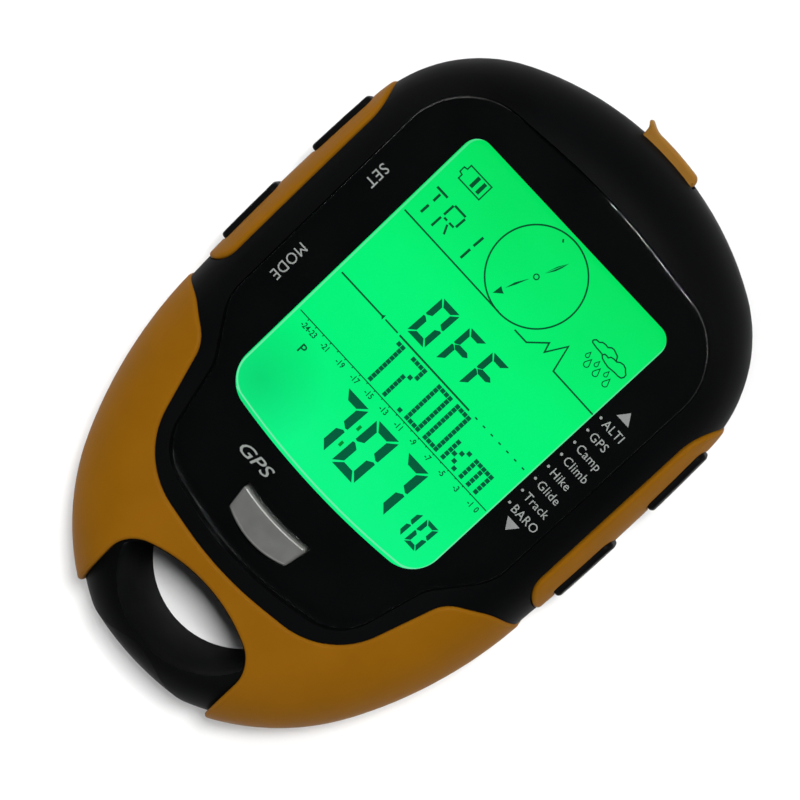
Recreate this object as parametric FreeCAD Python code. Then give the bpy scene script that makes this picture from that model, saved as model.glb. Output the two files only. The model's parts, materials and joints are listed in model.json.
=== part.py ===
import FreeCAD, Part
import math
import os

# Handheld GPS unit, millimetres. It lies on its back: the back face is z = 0, the display faces +Z,
# the top edge of the unit is towards +Y and the UP and DOWN keys are on the +X side.

V = FreeCAD.Vector
PARTS = "parts"

# Body outline: tangent arcs from the top centre down the right side, as (radius, angle of the end normal)
TOP_Y = 49.8
OUTLINE_ARCS = ((45.0, 62.2), (21.2, 3.0), (380.0, -2.4), (65.0, -24.7), (35.0, -64.0))
THICKNESS = 21.8
FRONT_ROUND = 10.8
BACK_ROUND = 8.0
PARTING_Z = 7.0

# Walls
PROUD = 0.3
EDGE_ROUND = 0.5
SLOT_ROUND = 0.4
BUMPER_WALL = 1.7
TRIM_WALL = 1.8
SHELL_INSET = 3.6
FLOOR_Z = 2.2
CEILING_Z = 17.6

# Lanyard loop
LOOP_HALF = 12.4
LOOP_FOOT_Y = -50.2
LOOP_FOOT_R = 42.0
LOOP_INSET = 0.8
LOOP_FRONT_ROUND = 8.0
LOOP_BACK_ROUND = 5.0
EYE_R = 12.6
EYE_CENTRE_Y = -33.2
EYE_MARGIN = 0.45

# Window stack, from the ledge in the front housing up
LEDGE_Z = 19.5
ADHESIVE = 0.1
BORDER = 0.1
WINDOW = 1.0
WINDOW_ROUND = 0.25
WINDOW_HALF = 25.65
SIGHT_HALF = 18.5
SIGHT_TOP = 34.25
SIGHT_FOOT = -13.9

# Board, battery and display stack
BOARD_Z = 8.5
BOARD = 1.2
BOARD_TOP = BOARD_Z + BOARD
BATTERY = (34.0, 46.0, 5.2)
BATTERY_Z = 2.7
GLASS_HALF = 20.3
GLASS_LOW_Y = -17.6
GLASS_HIGH_Y = 35.2

# Keys
KEY_Z = 11.0
KEY_LENGTH = 10.3
KEY_HEIGHT = 6.0
KEY_PROUD = 0.65
UPPER_KEY_Y = 21.2
LOWER_KEY_Y = 4.2
KEY_GAP = 0.12
GPS_KEY_TOP = 21.0

# Screws
SCREW_SPOTS = ((15.0, 39.4), (17.0, -21.5), (-15.0, 39.4), (-17.0, -21.5))
SCREW_R = 0.98
BOSS_R = 2.6

# USB socket and its cover on the top edge
USB_X = -0.2
USB_Z = 11.05
COVER_LEFT = -3.7
COVER_FACE_PROUD = 0.9
COVER_BELOW = 2.75
COVER_ABOVE = 1.75
HINGE_X = 4.3
HINGE_Y = 49.3
HINGE_R = 1.35
POCKET_Y = 47.9


# ---------------------------------------------------------------- helpers

def polar(centre, radius, degrees):
    a = math.radians(degrees)
    return V(centre.x + radius * math.cos(a), centre.y + radius * math.sin(a), 0)


def outline(inset):
    """Closed wire of the body outline, moved inwards by inset."""
    start, normal = V(0, TOP_Y, 0), 90.0
    right = []
    for radius, end in OUTLINE_ARCS:
        centre = start - (polar(V(), radius, normal))
        right.append((centre, radius, normal, end))
        start, normal = polar(centre, radius, end), end
    last = start.x / math.cos(math.radians(normal))
    centre = start - polar(V(), last, normal)
    right.append((centre, last, normal, -90.0))
    edges = []
    for side in (1, -1):
        for centre, radius, a, b in right:
            points = [polar(centre, radius - inset, t) for t in (a, (a + b) / 2, b)]
            points = [V(side * p.x, p.y, 0) for p in points]
            edges.append(Part.Arc(*points).toShape())
    return Part.Wire(Part.__sortEdges__(edges))


def prism(wire, low, high):
    face = Part.Face(wire)
    face.translate(V(0, 0, low))
    return face.extrude(V(0, 0, high - low))


def rim_edges(shape, z):
    return [e for e in shape.Edges
            if abs(e.BoundBox.ZMin - z) < 1e-3 and abs(e.BoundBox.ZMax - z) < 1e-3]


def shared_edges(shape, *surfaces):
    """Edges of the shape whose middle lies on every one of the surfaces."""
    found = []
    for edge in shape.Edges:
        middle = Part.Vertex(edge.valueAt((edge.FirstParameter + edge.LastParameter) / 2))
        if all(middle.distToShape(s)[0] < 1e-3 for s in surfaces):
            found.append(edge)
    return found


def pebble(inset, low, high, back_round, front_round):
    """The body shape, inset sideways, from low to high, with rounded back and front edges."""
    body = prism(outline(inset), low, high)
    body = body.makeFillet(front_round, rim_edges(body, high))
    return body.makeFillet(back_round, rim_edges(body, low))


def box(x0, x1, y0, y1, z0, z1):
    return Part.makeBox(x1 - x0, y1 - y0, z1 - z0, V(x0, y0, z0))


def upright_edges(shape):
    return [e for e in shape.Edges
            if e.BoundBox.XLength < 1e-3 and e.BoundBox.YLength < 1e-3]


def block(x0, x1, y0, y1, z0, z1, radius):
    """Box with rounded upright edges."""
    body = box(x0, x1, y0, y1, z0, z1)
    return body.makeFillet(radius, upright_edges(body))


def disc(x, y, radius, z0, z1):
    return Part.makeCylinder(radius, z1 - z0, V(x, y, z0), V(0, 0, 1))


def rod(x0, x1, y, z, radius):
    return Part.makeCylinder(radius, x1 - x0, V(x0, y, z), V(1, 0, 0))


def unit(a, b):
    return (b - a).normalize()


def rounded(corners):
    """Closed wire through the corners (x, y, radius), each corner rounded to its radius."""
    spots = [V(x, y, 0) for x, y, _ in corners]
    starts, ends, edges = [], [], []
    for i, (x, y, radius) in enumerate(corners):
        here = spots[i]
        back, ahead = unit(here, spots[i - 1]), unit(here, spots[(i + 1) % len(spots)])
        half = back.getAngle(ahead) / 2
        reach = radius / math.tan(half)
        starts.append(here + back * reach)
        ends.append(here + ahead * reach)
        if radius:
            inward = (back + ahead).normalize()
            middle = here + inward * (radius / math.sin(half) - radius)
            edges.append(Part.Arc(starts[-1], middle, ends[-1]).toShape())
    for i in range(len(spots)):
        a, b = ends[i - 1], starts[i]
        if a.distanceToPoint(b) > 1e-6:
            edges.append(Part.makeLine(a, b))
    return Part.Wire(Part.__sortEdges__(edges))


def line(a, b):
    return Part.makeLine(V(*a, 0), V(*b, 0))


def arc(a, b, c):
    return Part.Arc(V(*a, 0), V(*b, 0), V(*c, 0)).toShape()


def mirrored(corners):
    """Corners given from the middle out to the right, made whole from left to right."""
    return [(-x, y, r) for x, y, r in reversed(corners) if x > 0] + list(corners)


def grown(wire, distance):
    return wire.makeOffset2D(distance) if distance else wire


def flip(shape):
    return shape.mirror(V(0, 0, 0), V(1, 0, 0))


def fuse(*shapes):
    return shapes[0].multiFuse(list(shapes[1:])).removeSplitter()


def carve(shape, cutters):
    for cutter in cutters:
        shape = shape.cut(cutter)
    return shape


def save(name, *solids):
    shape = solids[0] if len(solids) == 1 else Part.makeCompound(list(solids))
    pieces = shape.Solids
    if len(pieces) == 1:
        shape = pieces[0]
    if not shape.isValid():
        print("not valid:", name)
    if len(pieces) != len(solids):
        print("wrong number of solids:", name, len(pieces))
    shape.exportStep(os.path.join(PARTS, name + ".step"))


# ---------------------------------------------------------------- outlines seen from the front

def bumper_line():
    """Everything below the U-shaped edge of the bumper."""
    return rounded(mirrored([(0, -30.8, 48), (18.3, -28.0, 12), (23.4, -10.9, 5), (28.8, -7.9, 6),
                             (38, -7.2, 0), (38, -60, 0)]))


def loop_wire():
    """The gap of the bumper that leaves the lanyard loop bare."""
    return rounded(mirrored([(0, -31.2, 23.5), (LOOP_HALF, -36.2, 5.2), (LOOP_HALF, -60, 0)]))


def window_wire():
    """Outline of the glossy display window."""
    foot = mirrored([(0, -29.0, 45), (17.3, -25.0, 7.5), (20.4, -11.8, 7), (WINDOW_HALF, -4.3, 7),
                     (WINDOW_HALF, 38.5, 10.5)])
    return rounded(foot + [(0, 41.2, 100)])


def sight(grow, low, high):
    """The clear area of the window, as a prism: square top corners, bowed foot."""
    half, top = SIGHT_HALF + grow, SIGHT_TOP + grow
    side_foot, foot = SIGHT_FOOT + 1.5 - grow, SIGHT_FOOT - grow
    wire = Part.Wire([line((-half, side_foot), (-half, top)), line((-half, top), (half, top)),
                      line((half, top), (half, side_foot)),
                      arc((half, side_foot), (0, foot), (-half, side_foot))])
    body = prism(wire, low, high)
    upper = [e for e in upright_edges(body) if e.BoundBox.YMin > 0]
    body = body.makeFillet(2.3 + grow, upper)
    lower = [e for e in upright_edges(body) if e.BoundBox.YMin < side_foot + 0.1]
    return body.makeFillet(5.0 + grow, lower)


def gps_key_wire():
    return Part.Wire([arc((-6.05, -19.8), (0, -20.35), (6.05, -19.8)),
                      line((6.05, -19.8), (5.45, -23.65)),
                      arc((5.45, -23.65), (0, -24.9), (-5.45, -23.65)),
                      line((-5.45, -23.65), (-6.05, -19.8))])


def gps_key_prism(grow, low, high):
    body = prism(grown(gps_key_wire(), grow), low, high)
    return body.makeFillet(0.5, upright_edges(body)) if grow <= 0 else body


def trim_zone():
    """Everything outside the inner edge of the right side trim."""
    return rounded([(38, 37.9, 0), (29.45, 28.4, 9), (29.45, -2.6, 5), (38, -8.0, 0)])


# ---------------------------------------------------------------- shells

ALL_LOW, ALL_HIGH = -5.0, 30.0


def tall(wire):
    return prism(wire, ALL_LOW, ALL_HIGH)


def skin(offset=0.0):
    """The outer shape of the whole unit, grown by offset."""
    return pebble(-offset, -offset, THICKNESS + offset, BACK_ROUND + offset, FRONT_ROUND + offset)


def bare_body(zones):
    """The hard body under bumper and trims, as one solid block before hollowing."""
    upper = pebble(PROUD, 0.0, THICKNESS - PROUD, BACK_ROUND - PROUD, FRONT_ROUND - PROUD)
    upper = upper.cut(zones["bumper"])
    core = skin(-BUMPER_WALL).cut(zones["loop"])
    loop = pebble(LOOP_INSET, LOOP_INSET, THICKNESS - 2 * LOOP_INSET,
                  BACK_ROUND - LOOP_INSET, FRONT_ROUND - LOOP_INSET)
    loop = loop.common(zones["loop"]).common(loop_foot())
    return fuse(upper, core, loop)


def loop_foot():
    """Everything above the rounded foot of the lanyard loop."""
    low, high = LOOP_INSET, THICKNESS - 2 * LOOP_INSET
    foot = disc(0, LOOP_FOOT_Y + LOOP_FOOT_R, LOOP_FOOT_R, low, high)
    foot = foot.makeFillet(LOOP_FRONT_ROUND, rim_edges(foot, high))
    return foot.makeFillet(LOOP_BACK_ROUND, rim_edges(foot, low))


def cavity():
    """Inside space of both housings."""
    room = pebble(SHELL_INSET, FLOOR_Z, THICKNESS - 2.4, 5.0, 7.0)
    forehead = pebble(2.2, PARTING_Z, THICKNESS - 2.4, 3.0, 7.4)
    forehead = forehead.common(box(-40, 40, 36.2, 60, 13.2, 30))
    room = fuse(room, forehead)
    ledge = prism(grown(window_wire(), 1.8), CEILING_Z, ALL_HIGH)
    loop_wall = tall(grown(loop_wire(), 1.6))
    return room.cut(ledge).cut(loop_wall)


def eye():
    """The through hole of the lanyard loop."""
    hole = tall(grown(loop_wire(), -EYE_MARGIN))
    hole = hole.common(disc(0, EYE_CENTRE_Y, EYE_R, ALL_LOW, ALL_HIGH))
    corners = [e for e in upright_edges(hole) if e.BoundBox.YMin < -38.0]
    return hole.makeFillet(1.0, corners)


def key_slots(margin, x_low, x_high):
    """Prisms along X where the right side keys pass."""
    return [key_section(y, margin, x_low, x_high) for y in (UPPER_KEY_Y, LOWER_KEY_Y)]


def key_section(y, margin, x_low, x_high):
    half_y, half_z = KEY_LENGTH / 2 + margin, KEY_HEIGHT / 2 + margin
    body = box(x_low, x_high, y - half_y, y + half_y, KEY_Z - half_z, KEY_Z + half_z)
    along = [e for e in body.Edges if e.BoundBox.YLength < 1e-3 and e.BoundBox.ZLength < 1e-3]
    return body.makeFillet(1.2 + margin, along)


def both_sides(shapes):
    return list(shapes) + [flip(s) for s in shapes]


def key_bays():
    made = [box(26.9, 29.2, y - 6.5, y + 6.5, 7.2, 14.8) for y in (UPPER_KEY_Y, LOWER_KEY_Y)]
    return both_sides(made)


def usb_cutters():
    """Pocket for the cover, mouth of the socket and the hole for the tether."""
    pocket = box(COVER_LEFT - 0.35, HINGE_X + HINGE_R + 0.2, POCKET_Y, 56,
                 USB_Z - COVER_BELOW - 0.25, USB_Z + COVER_ABOVE + 0.25)
    mouth = box(USB_X - 3.95, USB_X + 3.95, 40, POCKET_Y + 1, USB_Z - 1.45, USB_Z + 1.45)
    tether = box(4.15, 5.65, 44, POCKET_Y + 1, USB_Z - 1.05, USB_Z + 1.05)
    return [pocket, mouth, tether]


def front_housing(body, hollow, eye_hole, trims):
    shell = body.common(box(-60, 60, -60, 60, PARTING_Z, ALL_HIGH)).cut(hollow)
    bosses = [disc(x, y, BOSS_R, BOARD_TOP, CEILING_Z + 0.6) for x, y in SCREW_SPOTS]
    shell = fuse(shell, *bosses)
    cutters = [disc(x, y, SCREW_R + 0.02, BOARD_TOP, 15.6) for x, y in SCREW_SPOTS]
    cutters += [prism(grown(window_wire(), 0.12), LEDGE_Z, ALL_HIGH)]
    cutters += [sight(1.0, CEILING_Z - 3, LEDGE_Z + 1)]
    cutters += [gps_key_prism(KEY_GAP, CEILING_Z - 1, LEDGE_Z + 1)]
    cutters += key_bays() + both_sides(key_slots(KEY_GAP, 28, 36)) + usb_cutters()
    cutters += [eye_hole] + trims
    return carve(shell, cutters)


def rear_housing(body, hollow, eye_hole):
    shell = body.common(box(-60, 60, -60, 60, ALL_LOW, PARTING_Z)).cut(hollow)
    bosses = [disc(x, y, BOSS_R, 1.0, BOARD_Z) for x, y in SCREW_SPOTS]
    shell = fuse(shell, *bosses)
    cutters = [fuse(disc(x, y, 1.15, 1.0, BOARD_Z + 1), disc(x, y, 2.0, -2.0, 2.4))
               for x, y in SCREW_SPOTS]
    cutters += [disc(x, 39.5, 0.5, ALL_LOW, FLOOR_Z + 1) for x in (-3, 0, 3)]
    cutters += [block(-13, 13, -4, 14, ALL_LOW, 0.25, 1.5)]
    cutters += [gasket(hollow_plan(), 0.0), eye_hole]
    return carve(shell, cutters)


def hollow_plan():
    """Plan of the cavity at the parting plane."""
    plan = Part.Face(outline(SHELL_INSET)).cut(Part.Face(grown(loop_wire(), 1.6)))
    return Part.Wire(Part.__sortEdges__(plan.Faces[0].OuterWire.Edges))


def gasket(plan, gap):
    outer = prism(grown(plan, 1.15 - gap), PARTING_Z - 0.5, PARTING_Z)
    return outer.cut(prism(grown(plan, 0.55 + gap), PARTING_Z - 0.5, PARTING_Z))


def side_trim():
    """Right side trim, before the key slots are cut through it."""
    return skin().cut(skin(-TRIM_WALL)).common(prism(trim_zone(), PARTING_Z, ALL_HIGH))


def softened_trim(trim):
    """The trim with rounded outer edges and its two key slots."""
    surface, border = skin().Shells[0], prism(trim_zone(), PARTING_Z, ALL_HIGH).Shells[0]
    trim = trim.makeFillet(EDGE_ROUND, shared_edges(trim, surface, border))
    slots = fuse(*key_slots(KEY_GAP, 28, 36))
    trim = trim.cut(slots)
    return trim.makeFillet(SLOT_ROUND, shared_edges(trim, surface, slots))


def bumper(zones):
    body = skin().cut(skin(-BUMPER_WALL)).common(zones["bumper"]).cut(zones["loop"])
    for zone in ("bumper", "loop"):
        rim = shared_edges(body, skin().Shells[0], zones[zone].Shells[0])
        body = body.makeFillet(EDGE_ROUND, rim)
    return body


def shells():
    zones = {"bumper": tall(bumper_line()), "loop": tall(loop_wire())}
    body, hollow, eye_hole = bare_body(zones), cavity(), eye()
    trim = side_trim()
    save("front_housing", front_housing(body, hollow, eye_hole, [trim, flip(trim)]))
    save("rear_housing", rear_housing(body, hollow, eye_hole))
    save("side_trim_right", softened_trim(trim))
    save("side_trim_left", flip(softened_trim(trim)))
    save("lower_bumper", bumper(zones))
    save("case_gasket", gasket(hollow_plan(), 0.03))


# ---------------------------------------------------------------- window and display

def window_parts():
    border_z = LEDGE_Z + ADHESIVE
    window_z = border_z + BORDER
    outer = window_wire()
    pane = prism(outer, window_z, window_z + WINDOW)
    pane = pane.makeFillet(WINDOW_ROUND, rim_edges(pane, window_z + WINDOW))
    save("display_window", pane.cut(gps_key_prism(KEY_GAP, 15, 25)))
    film = prism(grown(outer, -0.1), border_z, window_z)
    save("window_border", film.cut([sight(0, 15, 25), gps_key_prism(KEY_GAP, 15, 25)]))
    glue = prism(grown(outer, -0.6), LEDGE_Z, border_z)
    save("window_adhesive", glue.cut([sight(1.4, 15, 25), gps_key_prism(0.8, 15, 25)]))


def display_parts():
    wide, low, high = GLASS_HALF, GLASS_LOW_Y, GLASS_HIGH_Y
    outer = box(-wide - 1.6, wide + 1.6, low - 1.0, high + 0.8, 12.2, 17.3)
    frame = outer.cut([box(-wide - 0.1, wide + 0.1, low - 0.1, high + 0.1, 12.4, 18),
                       box(-wide + 0.9, wide - 0.9, low - 0.1, high - 0.9, 12, 18)])
    legs = [box(x - 0.7, x + 0.7, y - 0.4, y + 0.4, BOARD_TOP, 12.6)
            for x in (-wide - 0.85, wide + 0.85) for y in (low - 0.5, high + 0.35)]
    save("lcd_frame", fuse(frame, *legs))
    save("lcd_reflector", box(-wide, wide, low + 2.2, high, 12.4, 12.55))
    save("backlight_guide", box(-wide + 1.5, wide, low + 2.2, high, 12.6, 14.6))
    save("backlight_leds", *[box(-wide, -wide + 1.45, y - 1.6, y + 1.6, 12.8, 14.4)
                             for y in (-2.0, 9.0, 20.0)])
    save("lcd_rear_polariser", box(-wide + 0.4, wide - 0.4, low + 2.4, high - 0.3, 14.65, 14.85))
    save("lcd_rear_glass", box(-wide, wide, low, high, 14.85, 15.95))
    save("lcd_front_glass", box(-wide, wide, low + 2.2, high, 15.95, 17.05))
    save("lcd_front_polariser", box(-wide + 0.4, wide - 0.4, low + 2.5, high - 0.3, 17.05, 17.2))
    foam = box(-wide, wide, low + 2.3, high, 17.2, CEILING_Z)
    save("display_foam", foam.cut(sight(0.55, 15, 25)))
    save("lcd_connector", box(-wide + 2, wide - 2, low + 0.2, low + 1.8, BOARD_TOP, 14.85))


# ---------------------------------------------------------------- board and what stands on it

def board_parts():
    plan = Part.Face(outline(4.4)).extrude(V(0, 0, BOARD))
    plan.translate(V(0, 0, BOARD_Z))
    board = plan.common(box(-26.6, 26.6, -29.5, 60, 0, 20))
    tongue = block(USB_X - 6, USB_X + 6, 38, 45.6, BOARD_Z, BOARD_TOP, 0.8)
    board = fuse(board, tongue)
    save("main_board", board.cut([disc(x, y, 1.2, 5, 12) for x, y in SCREW_SPOTS]))

    can = block(-16, -4, 18, 28, BOARD_TOP, 11.9, 0.4)
    save("shield_can", can.cut(box(-15.8, -4.2, 18.2, 27.8, BOARD_TOP, 11.7)))
    save("gps_module", box(-14, -6, 19, 27, BOARD_TOP, 10.9))
    save("processor", box(3, 13, 5, 15, BOARD_TOP, 10.8))
    save("pressure_sensor", fuse(box(-14.5, -9.5, -3, 2, BOARD_TOP, 10.7),
                                 disc(-12, -0.5, 1.5, 10.6, 11.7)))
    save("compass_sensor", box(10.5, 13.5, -6, -3, BOARD_TOP, 10.6))
    save("crystal", block(-2.6, 0.6, 8, 9.6, BOARD_TOP, 10.5, 0.5))
    save("buzzer", disc(0, -24, 4.5, 6.0, BOARD_Z).cut(disc(0, -24, 0.8, 5.9, 7.0)))
    save("board_passives", *[box(x, x + 1.0, y, y + 0.55, BOARD_TOP, BOARD_TOP + 0.5)
                             for x in (-1.5, 0.5, 15.0) for y in (20.0, 22.0, 24.0, 26.0)])

    posts = [disc(x, 40.5, 0.8, BOARD_TOP, 12.9) for x in (-5.6, 5.6)]
    save("antenna_board", fuse(block(-6.6, 6.6, 36.4, 45.4, 12.7, 13.3, 0.6), *posts))
    save("patch_antenna", box(-5, 5, 36.6, 45.2, 13.3, 16.9))

    shell = block(USB_X - 3.75, USB_X + 3.75, 42.5, 47.7, BOARD_TOP, 12.4, 0.3)
    mouth = box(USB_X - 3.35, USB_X + 3.35, 43.3, 48, 10.1, 12.0)
    tongue = box(USB_X - 2.1, USB_X + 2.1, 43.2, 46.4, 10.85, 11.25)
    save("usb_socket", fuse(shell.cut(mouth), tongue))


def battery_parts():
    wide, long, thick = BATTERY
    low_y = -13.0
    top = BATTERY_Z + thick
    save("battery", block(-wide / 2, wide / 2, low_y, low_y + long, BATTERY_Z, top, 2.0))
    save("battery_pad", block(-14, 14, -8, 28, FLOOR_Z, BATTERY_Z, 1.0))
    save("battery_plug", block(-13, -7, -22, -18, 6.3, BOARD_Z, 0.4))
    leads = [Part.makeCylinder(0.5, low_y + 18, V(x, -18, 7.2), V(0, 1, 0)) for x in (-11.2, -8.8)]
    save("battery_leads", *leads)
    save("vent_membrane", block(-4.5, 4.5, 38, 41, FLOOR_Z, FLOOR_Z + 0.2, 1.0))
    save("rating_label", block(-12.9, 12.9, -3.9, 13.9, 0.05, 0.25, 1.4))


def screws():
    made = []
    for x, y in SCREW_SPOTS:
        screw = fuse(disc(x, y, 1.85, 0.8, 2.4), disc(x, y, SCREW_R, 2.3, 14.5))
        cross = [box(x - 1.2, x + 1.2, y - 0.25, y + 0.25, 0.8, 1.6),
                 box(x - 0.25, x + 0.25, y - 1.2, y + 1.2, 0.8, 1.6)]
        made.append(screw.cut(cross))
    save("case_screws", *made)


# ---------------------------------------------------------------- keys and switches

def side_key(y):
    """Right side key: cap through the trim, flange behind the wall, nib on the plunger."""
    cap = key_section(y, 0, 28.5, 36)
    crown = skin(KEY_PROUD)
    cap = cap.common(crown)
    cap = cap.makeFillet(EDGE_ROUND, shared_edges(cap, crown.Shells[0]))
    flange = box(28.0, 28.85, y - 6.0, y + 6.0, 7.5, 14.5)
    nib = rod(27.6, 28.2, y, KEY_Z, 1.2)
    return fuse(cap, flange, nib)


def side_key_seal(y):
    seal = box(28.9, 29.2, y - 6.0, y + 6.0, 7.45, 14.55)
    return seal.cut(key_section(y, 0.2, 28, 30))


def side_switch(y):
    body = box(23.0, 26.2, y - 3.0, y + 3.0, BOARD_TOP, 12.5)
    return body.cut(rod(24.4, 27, y, KEY_Z, 0.86))


def side_plunger(y):
    return rod(25.0, 27.6, y, KEY_Z, 0.8)


def keys_and_switches():
    sides = (("up", UPPER_KEY_Y, False), ("down", LOWER_KEY_Y, False),
             ("set", UPPER_KEY_Y, True), ("mode", LOWER_KEY_Y, True))
    seals = []
    for name, y, left in sides:
        turn = flip if left else (lambda shape: shape)
        save(name + "_key", turn(side_key(y)))
        save(name + "_switch", turn(side_switch(y)))
        save(name + "_plunger", turn(side_plunger(y)))
        seals.append(turn(side_key_seal(y)))
    save("side_key_seals", *seals)


def gps_key_parts():
    x, y = 0.0, -22.7
    cap = gps_key_prism(0, 17.0, GPS_KEY_TOP)
    cap = cap.makeFillet(EDGE_ROUND, rim_edges(cap, GPS_KEY_TOP))
    flange = block(-7.0, 7.0, -26.2, -19.1, 16.4, 17.25, 1.0)
    stem = disc(x, y, 1.5, 13.2, 16.5)
    save("gps_key", fuse(cap, flange, stem))
    seal = block(-7.0, 7.0, -26.2, -19.1, 17.3, CEILING_Z, 1.0)
    save("gps_key_seal", seal.cut(gps_key_prism(0.2, 17, 18)))
    body = block(x - 3, x + 3, y - 3, y + 3, BOARD_TOP, 12.6, 0.3)
    save("gps_switch", body.cut(disc(x, y, 1.06, 11.0, 13)))
    save("gps_plunger", disc(x, y, 1.0, 11.7, 13.2))


# ---------------------------------------------------------------- USB cover

def usb_cover_parts():
    low, high = USB_Z - COVER_BELOW, USB_Z + COVER_ABOVE
    plate = box(COVER_LEFT, HINGE_X, HINGE_Y - HINGE_R, 53, low, high)
    crown = skin(COVER_FACE_PROUD)
    plate = plate.common(crown)
    plate = plate.makeFillet(EDGE_ROUND, shared_edges(plate, crown.Shells[0]))
    knuckle = Part.makeCylinder(HINGE_R, high - low, V(HINGE_X, HINGE_Y, low), V(0, 0, 1))
    lip = box(COVER_LEFT - 0.9, COVER_LEFT + 0.5, 50.0, 51.0, low + 0.9, high - 0.9)
    plug = box(USB_X - 2.5, USB_X + 2.7, 46.9, HINGE_Y - HINGE_R + 0.3, USB_Z - 0.75, USB_Z + 0.75)
    save("usb_cover", fuse(plate, knuckle, lip, plug))
    stem = box(4.2, 5.6, 45.2, POCKET_Y, USB_Z - 1, USB_Z + 1)
    head = box(3.9, 5.9, 44.9, 45.7, USB_Z - 0.8, USB_Z + 0.8)
    save("usb_cover_tether", fuse(stem, head))


def main():
    os.makedirs(PARTS, exist_ok=True)
    shells()
    window_parts()
    display_parts()
    board_parts()
    battery_parts()
    screws()
    keys_and_switches()
    gps_key_parts()
    usb_cover_parts()


main()
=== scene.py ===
import json
import math

import bmesh
import bpy
from mathutils import Matrix, Vector


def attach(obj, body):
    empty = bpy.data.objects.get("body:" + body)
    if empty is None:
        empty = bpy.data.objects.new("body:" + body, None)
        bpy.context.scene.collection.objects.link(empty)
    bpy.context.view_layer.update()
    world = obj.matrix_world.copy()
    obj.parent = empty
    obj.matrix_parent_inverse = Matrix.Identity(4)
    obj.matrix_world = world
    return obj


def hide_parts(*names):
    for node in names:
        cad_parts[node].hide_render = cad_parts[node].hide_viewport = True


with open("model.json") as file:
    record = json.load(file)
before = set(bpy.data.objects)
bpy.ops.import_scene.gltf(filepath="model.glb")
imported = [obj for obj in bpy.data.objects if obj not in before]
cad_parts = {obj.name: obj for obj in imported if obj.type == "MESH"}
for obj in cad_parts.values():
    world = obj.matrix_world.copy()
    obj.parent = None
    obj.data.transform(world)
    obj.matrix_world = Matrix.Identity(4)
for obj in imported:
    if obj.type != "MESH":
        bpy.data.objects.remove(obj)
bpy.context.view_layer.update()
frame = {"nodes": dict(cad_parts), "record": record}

# Handheld GPS unit lying on its back. Shapes below are in millimetres, turned into metres by MM.
# +Z comes out of the display, +Y points to the top edge, UP and DOWN keys are on the +X side.

MM = 0.001
NODES = frame["nodes"]


# ---------------------------------------------------------------- camera, light and floor

CAMERA_SPOT = Vector((14.125, 63.374, 346.605)) * MM
VIEW_LEAN_X = 2.5
VIEW_LEAN_Y = 10.5
ROLL = 46.67
LENS = 114.3
SENSOR_WIDTH = 36.0
FLOOR_HALF = 1.6
FLOOR_DROP = 0.0002


def camera():
    away = Vector((math.tan(math.radians(VIEW_LEAN_X)), math.tan(math.radians(VIEW_LEAN_Y)), 1))
    away.normalize()
    level = Vector((0, 1, 0)).cross(away).normalized()
    upward = away.cross(level)
    roll = math.radians(ROLL)
    right = math.cos(roll) * level + math.sin(roll) * upward
    up = -math.sin(roll) * level + math.cos(roll) * upward
    data = bpy.data.cameras.new("camera")
    data.lens, data.sensor_width = LENS, SENSOR_WIDTH
    data.clip_start, data.clip_end = 0.01, 20.0
    made = bpy.data.objects.new("camera", data)
    bpy.context.scene.collection.objects.link(made)
    turn = Matrix((right, up, away)).transposed().to_4x4()
    made.matrix_world = Matrix.Translation(CAMERA_SPOT) @ turn
    bpy.context.scene.camera = made


def softbox(name, spot, size, power):
    """A rectangular area light that looks at the unit."""
    data = bpy.data.lights.new(name, "AREA")
    data.shape, data.size, data.size_y = "RECTANGLE", size[0], size[1]
    data.energy = power
    made = bpy.data.objects.new(name, data)
    bpy.context.scene.collection.objects.link(made)
    turn = Vector(spot).to_track_quat("Z", "Y").to_matrix().to_4x4()
    made.matrix_world = Matrix.Translation(spot) @ turn


def studio_world():
    """Bright all round the horizon, dim overhead, so that the flat window stays dark."""
    world = bpy.data.worlds.new("studio")
    world.use_nodes = True
    tree = world.node_tree
    place = tree.nodes.new("ShaderNodeTexCoord")
    split = tree.nodes.new("ShaderNodeSeparateXYZ")
    ramp = tree.nodes.new("ShaderNodeValToRGB")
    ramp.color_ramp.elements[0].position = 0.25
    ramp.color_ramp.elements[0].color = (1, 1, 1, 1)
    ramp.color_ramp.elements[1].position = 0.85
    ramp.color_ramp.elements[1].color = (0.05, 0.055, 0.06, 1)
    tree.links.new(place.outputs["Generated"], split.inputs[0])
    tree.links.new(split.outputs["Z"], ramp.inputs[0])
    background = tree.nodes["Background"]
    tree.links.new(ramp.outputs[0], background.inputs["Color"])
    background.inputs["Strength"].default_value = 0.4
    bpy.context.scene.world = world


# ---------------------------------------------------------------- materials

HEAD_ON_GLOSS = 0.036
SLANT_POWER = 5.0

def start_material(name):
    made = bpy.data.materials.new(name)
    made.use_nodes = True
    tree = made.node_tree
    return made, tree, tree.nodes["Principled BSDF"]


def place_of(tree):
    return tree.nodes.new("ShaderNodeTexCoord").outputs["Object"]


def noise(tree, place, size, detail=3.0, stretch=None):
    """Noise whose features are about size millimetres across."""
    node = tree.nodes.new("ShaderNodeTexNoise")
    node.inputs["Scale"].default_value = 1 / (size * MM)
    node.inputs["Detail"].default_value = detail
    if stretch:
        mapping = tree.nodes.new("ShaderNodeMapping")
        mapping.inputs["Scale"].default_value = stretch
        tree.links.new(place, mapping.inputs["Vector"])
        place = mapping.outputs[0]
    tree.links.new(place, node.inputs["Vector"])
    return node.outputs[0]


def mapped(tree, source, low, high, start=0.3, end=0.7):
    node = tree.nodes.new("ShaderNodeMapRange")
    for socket, value in zip(("From Min", "From Max", "To Min", "To Max"), (start, end, low, high)):
        node.inputs[socket].default_value = value
    tree.links.new(source, node.inputs["Value"])
    return node.outputs[0]


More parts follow.
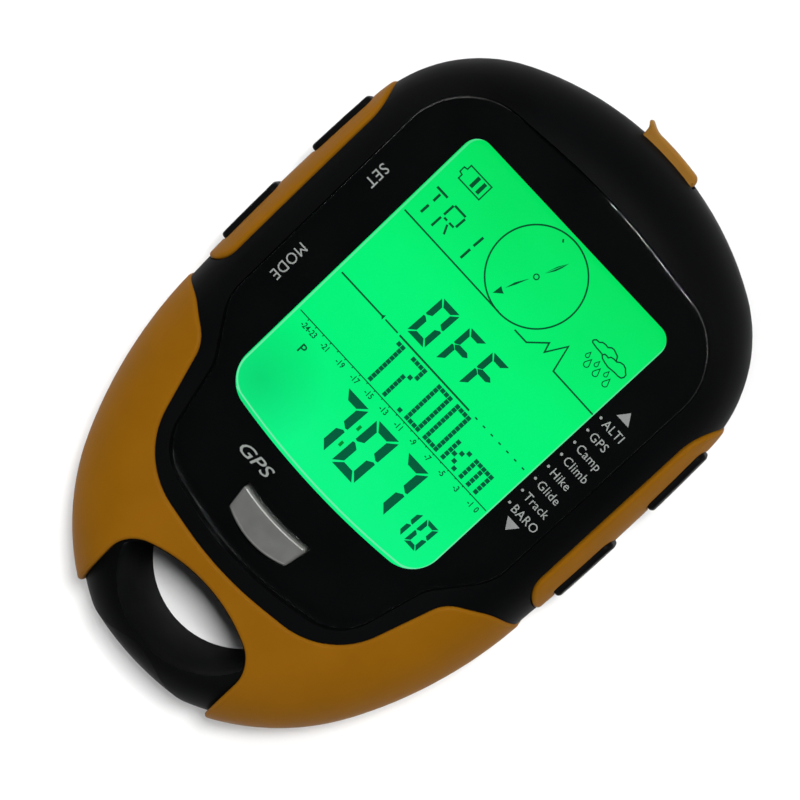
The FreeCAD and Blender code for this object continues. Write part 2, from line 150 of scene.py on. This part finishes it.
def tinted(tree, source, stops):
    """Colour ramp; stops are (place on the ramp, colour)."""
    node = tree.nodes.new("ShaderNodeValToRGB")
    ramp = node.color_ramp
    while len(ramp.elements) < len(stops):
        ramp.elements.new(0.5)
    for element, (where, colour) in zip(ramp.elements, stops):
        element.position = where
        element.color = (*colour, 1)
    tree.links.new(source, node.inputs[0])
    return node.outputs[0]


def shade(colour, factor):
    return tuple(min(c * factor, 1.0) for c in colour)


def surface(name, colour, rough, vary=0.1, patch=9.0, swing=0.06, grain=0.25, depth=0.008,
            stretch=None, **sockets):
    """Plastic, rubber or metal: patchy colour and gloss, and a fine moulded or brushed grain."""
    made, tree, shader = start_material(name)
    place = place_of(tree)
    broad = noise(tree, place, patch)
    colours = tinted(tree, broad, [(0.3, shade(colour, 1 - vary)), (0.7, shade(colour, 1 + vary))])
    tree.links.new(colours, shader.inputs["Base Color"])
    tree.links.new(mapped(tree, broad, rough - swing, rough + swing), shader.inputs["Roughness"])
    bump = tree.nodes.new("ShaderNodeBump")
    bump.inputs["Distance"].default_value = depth * MM
    tree.links.new(noise(tree, place, grain, 4.0, stretch), bump.inputs["Height"])
    tree.links.new(bump.outputs[0], shader.inputs["Normal"])
    for socket, value in sockets.items():
        shader.inputs[socket.replace("_", " ")].default_value = value
    return made


def clear_pane(name, tint, rough, swing):
    """Thin clear plastic: see-through, with a gloss that has faint smears in it."""
    made, tree, shader = start_material(name)
    place = place_of(tree)
    tree.nodes.remove(shader)
    through = tree.nodes.new("ShaderNodeBsdfTransparent")
    through.inputs["Color"].default_value = (*tint, 1)
    gloss = tree.nodes.new("ShaderNodeBsdfGlossy")
    smear = noise(tree, place, 14.0, 5.0, (1, 2.5, 1))
    tree.links.new(mapped(tree, smear, rough, rough + swing), gloss.inputs["Roughness"])
    # The share reflected rises steeply with the slant, alike from either side of a face.
    slant = tree.nodes.new("ShaderNodeLayerWeight")
    slant.inputs["Blend"].default_value = 0.5
    power = tree.nodes.new("ShaderNodeMath")
    power.operation = "POWER"
    power.inputs[1].default_value = SLANT_POWER
    tree.links.new(slant.outputs["Facing"], power.inputs[0])
    share = mapped(tree, power.outputs[0], HEAD_ON_GLOSS, 1.0, 0.0, 1.0)
    mix = tree.nodes.new("ShaderNodeMixShader")
    for source, socket in ((share, 0), (through.outputs[0], 1), (gloss.outputs[0], 2)):
        tree.links.new(source, mix.inputs[socket])
    tree.links.new(mix.outputs[0], tree.nodes["Material Output"].inputs["Surface"])
    return made


def lit(name, stops, strength, low, high, mottle=0.06, shadow=None):
    """A backlit layer: its light runs through the stops from low to high along Y, a little uneven.

    A shadow is a dim patch: x, y, reach and how much light is left at its middle.
    """
    made, tree, shader = start_material(name)
    place = place_of(tree)
    split = tree.nodes.new("ShaderNodeSeparateXYZ")
    tree.links.new(place, split.inputs[0])
    along = mapped(tree, split.outputs["Y"], 0.0, 1.0, low * MM, high * MM)
    cloud = mapped(tree, noise(tree, place, 16.0, 2.0), -mottle, mottle)
    total = tree.nodes.new("ShaderNodeMath")
    tree.links.new(along, total.inputs[0])
    tree.links.new(cloud, total.inputs[1])
    colours = tinted(tree, total.outputs[0], stops)
    tree.links.new(colours, shader.inputs["Emission Color"])
    shader.inputs["Emission Strength"].default_value = strength
    if shadow:
        x, y, reach, left = shadow
        gap = tree.nodes.new("ShaderNodeVectorMath")
        gap.operation = "DISTANCE"
        tree.links.new(place, gap.inputs[0])
        gap.inputs[1].default_value = (x * MM, y * MM, PANEL_Z[1] * MM)
        level = mapped(tree, gap.outputs["Value"], left * strength, strength, 0.0, reach * MM)
        tree.links.new(level, shader.inputs["Emission Strength"])
    shader.inputs["Base Color"].default_value = (0.0, 0.02, 0.008, 1)
    shader.inputs["IOR"].default_value = 1.1
    tree.links.new(mapped(tree, noise(tree, place, 2.0), 0.35, 0.45), shader.inputs["Roughness"])
    return made


BLACK = (0.0013, 0.0015, 0.0016)
AMBER = (0.188, 0.074, 0.002)
ORANGE = (0.22, 0.103, 0.016)

MATERIALS = {
    "housing_black": surface("housing_black", BLACK, 0.5, 0.15, 12.0, 0.06, 0.22, 0.006, IOR=1.085),
    "elastomer_amber": surface("elastomer_amber", AMBER, 0.5, 0.05, 7.0, 0.05, 0.3, 0.01,
                               Subsurface_Weight=0.08, Subsurface_Scale=0.0006, IOR=1.1),
    "window_clear": clear_pane("window_clear", (0.97, 0.985, 0.98), 0.02, 0.035),
    "border_black": surface("border_black", (0.0012, 0.0014, 0.0014), 0.4, 0.2, 10.0, 0.05, 0.1,
                            0.001, IOR=1.06),
    "adhesive_clear": surface("adhesive_clear", (0.5, 0.5, 0.48), 0.4, 0.04, 3.0, 0.05, 0.4, 0.01),
    "key_silver": surface("key_silver", (0.125, 0.128, 0.12), 0.38, 0.05, 3.0, 0.05, 0.12, 0.003,
                          Metallic=0.35),
    "key_black": surface("key_black", (0.0022, 0.0022, 0.0024), 0.42, 0.15, 5.0, 0.06, 0.2, 0.006,
                         IOR=1.09),
    "seal_black": surface("seal_black", (0.012, 0.012, 0.012), 0.7, 0.12, 2.0, 0.05, 0.2, 0.01),
    "cover_orange": surface("cover_orange", ORANGE, 0.52, 0.06, 4.0, 0.05, 0.25, 0.01,
                            Subsurface_Weight=0.1, Subsurface_Scale=0.0006, IOR=1.1),
    "lcd_glass": clear_pane("lcd_glass", (0.9, 0.96, 0.92), 0.02, 0.03),
    "lcd_film": surface("lcd_film", (0.1, 0.3, 0.16), 0.3, 0.05, 5.0, 0.05, 0.3, 0.002),
    "backlight": lit("backlight", [(0, (0.1, 0.9, 0.35)), (1, (0.02, 0.8, 0.2))], 0.8, -16, 36),
    "frame_white": surface("frame_white", (0.72, 0.72, 0.7), 0.45, 0.03, 6.0, 0.05, 0.3, 0.008),
    "board_green": surface("board_green", (0.008, 0.085, 0.032), 0.32, 0.3, 1.2, 0.08, 0.9, 0.02),
    "package_black": surface("package_black", (0.02, 0.02, 0.022), 0.6, 0.1, 2.0, 0.05, 0.1, 0.004),
    "can_steel": surface("can_steel", (0.6, 0.6, 0.58), 0.3, 0.06, 2.5, 0.06, 0.15, 0.003,
                         (1, 12, 1), Metallic=1.0),
    "ceramic_antenna": surface("ceramic_antenna", (0.62, 0.56, 0.46), 0.55, 0.05, 2.0, 0.08, 0.2,
                               0.01),
    "cell_silver": surface("cell_silver", (0.5, 0.5, 0.52), 0.34, 0.05, 6.0, 0.08, 1.4, 0.05,
                           Metallic=0.9),
    "foam_grey": surface("foam_grey", (0.06, 0.06, 0.065), 0.9, 0.2, 1.0, 0.04, 0.35, 0.08),
    "plug_white": surface("plug_white", (0.7, 0.69, 0.63), 0.45, 0.04, 2.0, 0.05, 0.2, 0.006),
    "lead_red": surface("lead_red", (0.36, 0.012, 0.012), 0.4, 0.06, 1.5, 0.05, 0.2, 0.004),
    "screw_steel": surface("screw_steel", (0.4, 0.4, 0.41), 0.32, 0.08, 1.0, 0.08, 0.1, 0.005,
                           (1, 1, 6), Metallic=1.0),
    "label_grey": surface("label_grey", (0.1, 0.1, 0.105), 0.4, 0.04, 4.0, 0.05, 0.15, 0.002),
}


def dress_frame():
    """Every carried-over CAD node takes the material of its slot in the record."""
    for row in frame["record"]["subparts"]:
        mesh = NODES[row["node"]].data
        mesh.materials.clear()
        mesh.materials.append(MATERIALS[row["material_slot"]])


# ---------------------------------------------------------------- flat drawing

def rounded(corners, steps=8):
    """Points of a closed outline through the corners (x, y, radius), each corner rounded."""
    points = []
    for i, (x, y, radius) in enumerate(corners):
        here = Vector((x, y))
        back = (Vector(corners[i - 1][:2]) - here).normalized()
        ahead = (Vector(corners[(i + 1) % len(corners)][:2]) - here).normalized()
        half = back.angle(ahead) / 2
        if not radius:
            points.append(here)
            continue
        centre = here + (back + ahead).normalized() * radius / math.sin(half)
        start = here + back * radius / math.tan(half) - centre
        end = here + ahead * radius / math.tan(half) - centre
        sweep = start.angle_signed(end)
        for k in range(steps + 1):
            t = -sweep * k / steps
            points.append(centre + Vector((start.x * math.cos(t) - start.y * math.sin(t),
                                           start.x * math.sin(t) + start.y * math.cos(t))))
    return points


class Print:
    """Thin flat shapes at one height, gathered into one mesh."""

    def __init__(self, low, high):
        self.low, self.high = low, high
        self.verts, self.faces = [], []

    def patch(self, points):
        n, base = len(points), len(self.verts)
        self.verts += [(p[0], p[1], self.low) for p in points]
        self.verts += [(p[0], p[1], self.high) for p in points]
        self.faces.append([base + n + i for i in range(n)])
        self.faces.append([base + i for i in reversed(range(n))])
        for i in range(n):
            j = (i + 1) % n
            self.faces.append([base + i, base + j, base + n + j, base + n + i])

    def bar(self, x0, x1, y0, y1):
        self.patch([(x0, y0), (x1, y0), (x1, y1), (x0, y1)])

    def stroke(self, points, width, closed=False):
        """A line of the given width with mitred corners."""
        spots = [Vector(p[:2]) for p in points]
        n = len(spots)
        sides = []
        for i, spot in enumerate(spots):
            before = spots[i - 1] if i or closed else None
            after = spots[(i + 1) % n] if i < n - 1 or closed else None
            ways = [w.normalized() for w in (spot - before if before else None,
                                             after - spot if after else None) if w]
            way = sum(ways, Vector((0, 0))).normalized()
            lean = max(way.dot(ways[0]), 0.45)
            across = Vector((-way.y, way.x)) * width / 2 / lean
            sides.append((spot + across, spot - across))
        for i in range(n if closed else n - 1):
            (a, b), (c, d) = sides[i], sides[(i + 1) % n]
            self.patch([b, d, c, a])

    def ring(self, x, y, radius, width, steps=64):
        turns = [2 * math.pi * k / steps for k in range(steps)]
        self.stroke([(x + radius * math.cos(t), y + radius * math.sin(t)) for t in turns],
                    width, True)

    def letters(self, text, size, x, y, turn=0.0, squeeze=1.0, align="LEFT", weight=0.0,
                spread=1.0, lean=0.0):
        """Plain built-in lettering; size is about 1.4 times the height of a capital."""
        data = bpy.data.curves.new("lettering", "FONT")
        data.body, data.size, data.align_x, data.resolution_u = text, size, align, 3
        data.offset = 0.012 * size * weight
        data.space_character, data.shear = spread, lean
        temp = bpy.data.objects.new("lettering", data)
        bpy.context.scene.collection.objects.link(temp)
        graph = bpy.context.evaluated_depsgraph_get()
        mesh = bpy.data.meshes.new_from_object(temp.evaluated_get(graph))
        c, s = math.cos(math.radians(turn)), math.sin(math.radians(turn))
        for face in mesh.polygons:
            flat = [mesh.vertices[i].co for i in face.vertices]
            self.patch([(x + c * v.x * squeeze - s * v.y, y + s * v.x * squeeze + c * v.y)
                        for v in flat])
        bpy.data.meshes.remove(mesh)
        bpy.data.objects.remove(temp)
        bpy.data.curves.remove(data)


def mount(name, mesh, material, body):
    """A finished mesh, riding on a body of the frame."""
    mesh.materials.append(material)
    made = bpy.data.objects.new(name, mesh)
    bpy.context.scene.collection.objects.link(made)
    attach(made, body)
    return made


def printed(name, art, material):
    """Flat drawing made into a piece of the housing."""
    mesh = bpy.data.meshes.new(name)
    mesh.from_pydata([Vector(v) * MM for v in art.verts], [], art.faces)
    mesh.validate()
    mount(name, mesh, material, "housing")


def inset_ring(points, distance):
    """The same number of points, moved inwards from a closed outline that runs anticlockwise."""
    moved = []
    for i, here in enumerate(points):
        before = (here - points[i - 1]).normalized()
        after = (points[(i + 1) % len(points)] - here).normalized()
        way = (before + after).normalized()
        inward = Vector((-way.y, way.x))
        moved.append(here + inward * distance / max(way.dot(before), 0.5))
    return moved


def anticlockwise(points):
    area = sum(points[i - 1].x * p.y - p.x * points[i - 1].y for i, p in enumerate(points))
    return points if area > 0 else points[::-1]


def plate(name, outline, low, high, edge, material, body="housing", hole=None, steps=4,
          edge_low=0.0):
    """Flat plate between two heights with rounded front and back edges, and a hole if given."""
    outline = anticlockwise(outline)
    turns = [math.radians(90 * k / steps) for k in range(steps + 1)]
    levels = [(edge * (1 - math.cos(t)), high - edge + edge * math.sin(t)) for t in turns]
    back = [(edge_low * (1 - math.cos(t)), low + edge_low - edge_low * math.sin(t)) for t in turns]
    levels = (back[::-1] if edge_low else [(0.0, low)]) + levels
    bm = bmesh.new()

    def ring(points, z):
        return [bm.verts.new((p.x * MM, p.y * MM, z * MM)) for p in points]

    def wall(lower, upper, smooth):
        for i in range(len(lower)):
            face = bm.faces.new((lower[i - 1], lower[i], upper[i], upper[i - 1]))
            face.smooth = smooth

    def cap(rings, up):
        edges = [bm.edges.get((r[i - 1], r[i])) for r in rings for i in range(len(r))]
        bmesh.ops.triangle_fill(bm, use_beauty=True, edges=edges, normal=(0, 0, 1 if up else -1))

    rings = [ring(inset_ring(outline, inset), z) for inset, z in levels]
    for lower, upper in zip(rings, rings[1:]):
        wall(lower, upper, True)
    if hole:
        hole = anticlockwise(hole)
        hole_low, hole_high = ring(hole, low), ring(hole, high)
        wall(hole_high, hole_low, False)
    cap([rings[0]] + ([hole_low] if hole else []), False)
    cap([rings[-1]] + ([hole_high] if hole else []), True)
    mesh = bpy.data.meshes.new(name)
    bmesh.ops.recalc_face_normals(bm, faces=bm.faces)
    bm.to_mesh(mesh)
    bm.free()
    return mount(name, mesh, material, body)


# ---------------------------------------------------------------- window, GPS key and USB cover

def mirrored(corners):
    """Corners from the middle out to the right, made whole from left to right."""
    return [(-x, y, r) for x, y, r in reversed(corners) if x > 0] + list(corners)


PANE_LOW, PANE_HIGH, PANE_EDGE = 19.71, 20.7, 0.22
FLAP_LOW, FLAP_HIGH, FLAP_EDGE = 8.3, 12.8, 0.45
PLUG_LOW, PLUG_HIGH, PLUG_EDGE = 10.3, 11.8, 0.25
KEY_CLEARANCE = 0.12


def gps_key_outline(grow):
    half_top, half_foot = 6.05 + grow, 5.45 + grow
    return anticlockwise(rounded([(-half_top, -19.8 + grow, 0.5), (0, -20.85 + grow, 29.0),
                                  (half_top, -19.8 + grow, 0.5), (half_foot, -23.65 - grow, 0.5),
                                  (0, -26.15 - grow, 11.0), (-half_foot, -23.65 - grow, 0.5)], 10))


def window():
    corners = mirrored([(0, -29.0, 45), (17.3, -25.0, 7.5), (20.4, -11.8, 7), (25.65, -4.3, 7),
                        (25.65, 38.5, 10.5)]) + [(0, 41.2, 100)]
    pane = plate("window_pane", rounded(corners, 16), PANE_LOW, PANE_HIGH, PANE_EDGE,
                 MATERIALS["window_clear"], hole=gps_key_outline(KEY_CLEARANCE))
    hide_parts("display_window")


def cover_flap():
    """The rubber flap: a bowed plate with a curled lip to pull at and a rounded hinge end."""
    corners = [(-3.95, 48.0, 0.2), (4.6, 48.0, 0.6), (5.55, 48.9, 1.0), (5.4, 50.3, 1.1),
               (0.6, 50.72, 45.0), (-2.9, 50.62, 3.0), (-3.9, 51.05, 1.2), (-4.5, 51.3, 0.14),
               (-4.62, 51.0, 0.14), (-4.1, 50.35, 0.8), (-3.95, 49.5, 0.8)]
    rubber = MATERIALS["cover_orange"]
    flap = plate("cover_flap", rounded(corners, 6), FLAP_LOW, FLAP_HIGH, FLAP_EDGE, rubber,
                 body="usb_cover", edge_low=FLAP_EDGE)
    tongue = rounded([(-2.7, 46.9, 0.3), (2.5, 46.9, 0.3), (2.5, 48.1, 0), (-2.7, 48.1, 0)], 4)
    plate("cover_plug", tongue, PLUG_LOW, PLUG_HIGH, PLUG_EDGE, rubber,
          body="usb_cover", edge_low=PLUG_EDGE)
    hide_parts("usb_cover")


# ---------------------------------------------------------------- the picture on the display

PANEL_Z = (17.21, 17.22)
SEGMENT_Z = (17.235, 17.25)
LEGEND_Z = (19.715, 19.735)
LIT_SPAN = (-14, 34)
DOT_HALF_X, DOT_HALF_Y = 0.31, 0.3
SIGHT_HALF, SIGHT_TOP, SIGHT_SIDE_FOOT, SIGHT_FOOT = 18.5, 34.25, -12.4, -13.9


def sight_outline(grow):
    """The clear area of the window: square shoulders, bowed foot."""
    half, top = SIGHT_HALF + grow, SIGHT_TOP + grow
    side, foot = SIGHT_SIDE_FOOT - grow, SIGHT_FOOT - grow
    bow = side - 2 * (side - foot)
    return rounded([(-half, side, 4.0), (0, bow, 110.0), (half, side, 4.0),
                    (half, top, 2.3 + grow), (-half, top, 2.3 + grow)], 14)


def seven(art, x, y, wide, high, bold, slant, names):
    """A seven-segment digit with its foot at x, y; names are the lit segments a to g."""
    gap, mid = 0.13 * bold, high / 2
    upper = [(0, high - 1.6 * gap), (bold, high - bold - gap), (bold, mid + 0.45 * bold + gap),
             (0.3 * bold, mid + gap), (0, mid + 1.6 * gap)]
    shapes = {
        "a": [(1.6 * gap, high), (wide - 1.6 * gap, high), (wide - bold - gap, high - bold),
              (bold + gap, high - bold)],
        "f": upper,
        "g": [(3 * gap, mid), (bold, mid + bold / 2), (wide - bold, mid + bold / 2),
              (wide - 3 * gap, mid), (wide - bold, mid - bold / 2), (bold, mid - bold / 2)],
    }
    shapes["b"] = [(wide - u, v) for u, v in upper]
    shapes["e"] = [(u, high - v) for u, v in upper]
    shapes["c"] = [(wide - u, high - v) for u, v in upper]
    shapes["d"] = [(u, high - v) for u, v in shapes["a"]]
    for name in names:
        art.patch([(x + u + slant * v, y + v) for u, v in shapes[name]])


def dots(art, x, y, pitch_x, pitch_y, rows):
    """Dot-matrix character; rows from the top, # is a dark dot, y is the lowest row."""
    for k, row in enumerate(reversed(rows)):
        for i, mark in enumerate(row):
            if mark == "#":
                cx, cy = x + i * pitch_x, y + k * pitch_y
                art.bar(cx - DOT_HALF_X, cx + DOT_HALF_X, cy - DOT_HALF_Y, cy + DOT_HALF_Y)


def drop(art, x, y, high, width):
    """Outline of a rain drop."""
    r = high * 0.3
    turns = [math.radians(a) for a in range(-205, 26, 21)]
    points = [(x, y + high * 0.62)] + [(x + r * math.cos(t), y - high * 0.08 + r * math.sin(t))
                                      for t in turns]
    art.stroke(points, width, True)


def display_icons():
    art = Print(*SEGMENT_Z)
    thin, line = 0.19, 0.23
    art.stroke([(-16.1, 28.05), (-16.1, 28.7), (-16.6, 28.8), (-16.6, 29.6), (-16.1, 29.7),
                (-16.1, 30.4), (-12.2, 30.4), (-12.2, 28.05)], thin, True)
    art.bar(-14.45, -13.9, 28.4, 30.1)
    art.bar(-13.3, -12.75, 28.4, 30.1)

    art.bar(-17.2, -15.2, 25.08, 25.42)
    art.stroke([(-16.2, 24.85), (-16.2, 23.6)], 0.36)
    art.stroke([(-16.26, 22.8), (-16.3, 21.4)], 0.38)
    art.bar(-13.8, -11.75, 25.08, 25.4)
    art.stroke([(-13.9, 25.1), (-13.95, 23.4)], 0.34)
    art.stroke([(-11.6, 25.0), (-11.68, 23.4)], 0.34)
    art.bar(-13.65, -13.1, 23.0, 23.3)
    art.bar(-12.7, -11.85, 23.0, 23.3)
    art.stroke([(-14.0, 22.9), (-14.05, 21.2)], 0.34)
    art.stroke([(-12.7, 22.8), (-12.1, 21.6)], 0.3)
    art.stroke([(-8.2, 25.1), (-8.3, 23.4)], 0.36)
    art.stroke([(-8.3, 22.8), (-8.35, 21.1)], 0.36)

    art.ring(0.27, 26.67, 6.8, line, 96)
    art.ring(0.27, 26.67, 0.36, 0.17, 24)
    art.patch([(0.7, 27.75), (1.25, 29.1), (1.95, 30.95), (1.75, 29.9), (1.45, 29.0)])
    art.patch([(0.65, 27.8), (1.2, 29.6), (1.95, 30.95), (1.1, 29.0)])
    art.patch([(-0.15, 25.9), (-0.85, 24.0), (-1.5, 22.65), (-1.15, 24.1)])
    art.patch([(-2.15, 21.05), (-1.05, 22.05), (-1.5, 22.2), (-2.0, 22.5)])
    art.stroke([(-0.9, 32.6), (-0.6, 32.25)], 0.22)

    art.stroke([(-18.0, 20.05), (0.2, 19.9)], line)
    art.stroke([(3.35, 19.85), (5.6, 19.85), (7.7, 22.0), (8.15, 20.7), (9.75, 23.5),
                (10.75, 19.85), (18.4, 19.75)], line)
    cloud = [(11.3, 26.45), (11.6, 26.8), (12.1, 26.85), (12.4, 27.15), (12.9, 27.25),
             (13.35, 27.2), (13.7, 27.52), (14.1, 27.6), (14.6, 27.45), (15.05, 27.3),
             (15.4, 26.75)]
    art.stroke(cloud, thin)
    art.stroke([(11.3, 26.45), (11.5, 26.2), (12.3, 26.1), (13.5, 26.05)], thin)
    art.stroke([(13.9, 25.7), (13.55, 25.98), (13.7, 26.3), (14.05, 26.35), (14.35, 26.3),
                (14.55, 26.62), (15.0, 26.75), (15.5, 26.75), (15.9, 27.05), (16.4, 27.15),
                (16.9, 27.0), (17.2, 26.7), (17.55, 26.45), (17.6, 26.05), (17.4, 25.7),
                (16.9, 25.6), (16.3, 25.6), (15.2, 25.45), (14.5, 25.55)], thin, True)
    for x in (12.3, 13.95, 15.75):
        drop(art, x, 24.6, 0.9, 0.13)
    for x in (13.05, 14.7, 16.55):
        drop(art, x, 23.75, 1.3, 0.14)

    art.stroke([(-17.8, 8.28), (-9.9, 8.26)], 0.24)
    art.patch([(-10.1, 8.26), (-9.62, 7.85), (-9.62, 8.67)])
    art.stroke([(-9.3, 8.24), (-6.9, 8.22)], 0.22)
    art.stroke([(-6.5, 8.2), (7.0, 8.14)], 0.27)
    for k in range(7):
        x = 8.4 + 1.5 * k
        art.stroke([(x - 0.22, 8.12), (x + 0.22, 8.12)], 0.2)

    art.stroke([(-18.0, 0.8), (18.2, 0.66)], 0.15)
    for k in range(23):
        x = -16.3 + 1.43 * k
        art.bar(x - 0.07, x + 0.07, 0.5, 0.72)
    for text, x in (("-24-23", -15.3), ("-21", -12.15), ("-19", -9.25), ("-17", -6.4),
                    ("-15", -3.65), ("-13", -0.75), ("-11", 2.15), ("-9", 4.9), ("-7", 7.75),
                    ("-5", 10.5), ("-3", 13.3), ("-1", 16.05), ("0", 17.2)):
        art.letters(text, 1.2, x, -0.62, squeeze=0.85, align="CENTER", weight=1.5)
    art.letters("P", 1.95, -14.6, -3.3, weight=1.0)
    return art


def display_digits():
    art = Print(*SEGMENT_Z)
    seven(art, -6.4, 9.35, 3.35, 6.5, 0.9, 0.04, "abcdef")
    seven(art, -1.1, 9.6, 3.15, 6.25, 0.85, 0.04, "aefg")
    seven(art, 3.3, 9.6, 3.15, 6.25, 0.85, 0.04, "aefg")
    seven(art, -6.65, -10.1, 4.3, 8.5, 1.2, 0.045, "abc")
    seven(art, -0.75, -10.1, 4.3, 8.5, 1.2, 0.045, "abcdef")
    seven(art, 5.0, -10.1, 4.3, 8.5, 1.2, 0.045, "abc")
    seven(art, 10.6, -10.15, 2.2, 4.35, 0.62, 0.045, "bc")
    seven(art, 13.55, -10.15, 2.2, 4.35, 0.62, 0.045, "abcdef")
    dots(art, -5.7, 1.4, 0.7, 0.661, ["##"] + [" #"] * 9)
    dots(art, -2.9, 1.4, 0.7, 0.661, ["####"] + ["   #"] * 2 + ["  # "] + [" #  "] * 6)
    dots(art, 0.68, 1.4, 0.7, 0.661, ["#"])
    for x in (2.05, 5.6):
        dots(art, x, 1.4, 0.7, 0.661, ["####"] + ["#  #"] * 8 + ["####"])
    dots(art, 9.1, 1.4, 0.7, 0.7, ["#  #", "# # ", "##  ", "# # ", "#  #"])
    dots(art, 12.6, 1.4, 0.7, 0.7, ["#####"] + ["# # #"] * 4)
    return art


def display():
    panel = Print(*PANEL_Z)
    panel.patch(sight_outline(0.45))
    green = lit("screen_light", [(0.0, (0.004, 0.95, 0.25)), (0.3, (0.0, 0.92, 0.2)),
                                 (0.62, (0.0, 0.92, 0.18)), (1.0, (0.0, 0.78, 0.12))], 1.05,
                *LIT_SPAN, shadow=(-15.2, -9.6, 9.5, 0.74))
    printed("display_light", panel, green)
    rim = Print(PANEL_Z[1], SEGMENT_Z[0])
    rim.stroke(sight_outline(-0.02), 0.22, True)
    glow = lit("screen_rim", [(0.0, (0.2, 1.0, 0.5)), (1.0, (0.1, 0.9, 0.35))], 0.9, *LIT_SPAN)
    printed("display_rim", rim, glow)
    dark = lit("segment_dark", [(0.0, (0.0, 0.105, 0.045)), (1.0, (0.0, 0.075, 0.028))], 0.9,
               *LIT_SPAN)
    printed("display_digits", display_digits(), dark)
    fine = lit("segment_fine", [(0.0, (0.0, 0.07, 0.018)), (1.0, (0.0, 0.07, 0.018))], 0.9,
               *LIT_SPAN)
    printed("display_icons", display_icons(), fine)
    colon = Print(*SEGMENT_Z)
    for x, y in ((-1.27, -4.3), (-1.42, -7.5)):
        colon.bar(x - 0.22, x + 0.22, y - 0.4, y + 0.4)
    faint = lit("segment_faint", [(0.0, (0.0, 0.28, 0.02)), (1.0, (0.0, 0.28, 0.02))], 0.9,
                *LIT_SPAN)
    printed("display_colon", colon, faint)


# ---------------------------------------------------------------- legends behind the window

def legends():
    art = Print(*LEGEND_Z)
    art.letters("SET", 2.2, -24.2, 20.8, -90, 0.92, "CENTER", 0.1, 1.15)
    art.letters("MODE", 2.2, -24.2, 4.55, -90, 0.9, "CENTER", 0.1, 1.1)
    art.letters("GPS", 2.4, -10.6, -17.75, 0, 1.4, "LEFT", 0.5, 1.0, 0.25)
    rows = ("ALTI", "GPS", "Camp", "Climb", "Hike", "Glide", "Track", "BARO")
    for k, text in enumerate(rows):
        y = 20.57 - 2.334 * k
        art.ring(19.4, y, 0.1, 0.2, 10)
        art.letters(text, 1.76, 20.1, y - 0.64, 0, 0.93, "LEFT", 0.1, 1.06)
    ink = surface("legend_ink", (0.24, 0.25, 0.24), 0.5, 0.06, 3.0, 0.05, 0.2, 0.002)
    printed("legends", art, ink)
    arrows = Print(*LEGEND_Z)
    arrows.patch([(20.5, 22.3), (22.7, 22.3), (21.6, 23.85)])
    arrows.patch([(20.55, 2.85), (21.66, 1.3), (22.77, 2.85)])
    grey = surface("arrow_ink", (0.2, 0.2, 0.2), 0.5, 0.06, 3.0, 0.05, 0.2, 0.002)
    printed("arrow_marks", arrows, grey)


def floor():
    mesh = bpy.data.meshes.new("floor")
    half = FLOOR_HALF
    mesh.from_pydata([(-half, -half, 0), (half, -half, 0), (half, half, 0), (-half, half, 0)], [],
                     [(0, 1, 2, 3)])
    made = bpy.data.objects.new("floor", mesh)
    bpy.context.scene.collection.objects.link(made)
    made.location.z = -FLOOR_DROP
    pale = surface("floor_pale", (0.86, 0.86, 0.855), 0.7, 0.01, 60.0, 0.05, 2.0, 0.01)
    mesh.materials.append(pale)


camera()
bpy.context.scene.view_settings.view_transform = "Standard"
softbox("top_light", (0.04, 0.37, 0.93), (0.17, 0.17), 9.0)
softbox("side_light", (-0.75, 0.25, 0.45), (0.7, 0.7), 3.5)
softbox("far_light", (0.5, 0.65, 0.35), (0.6, 0.4), 2.0)
softbox("near_light", (0.2, -0.9, 0.8), (0.8, 0.5), 4.5)
studio_world()
floor()
dress_frame()
window()
cover_flap()
display()
legends()
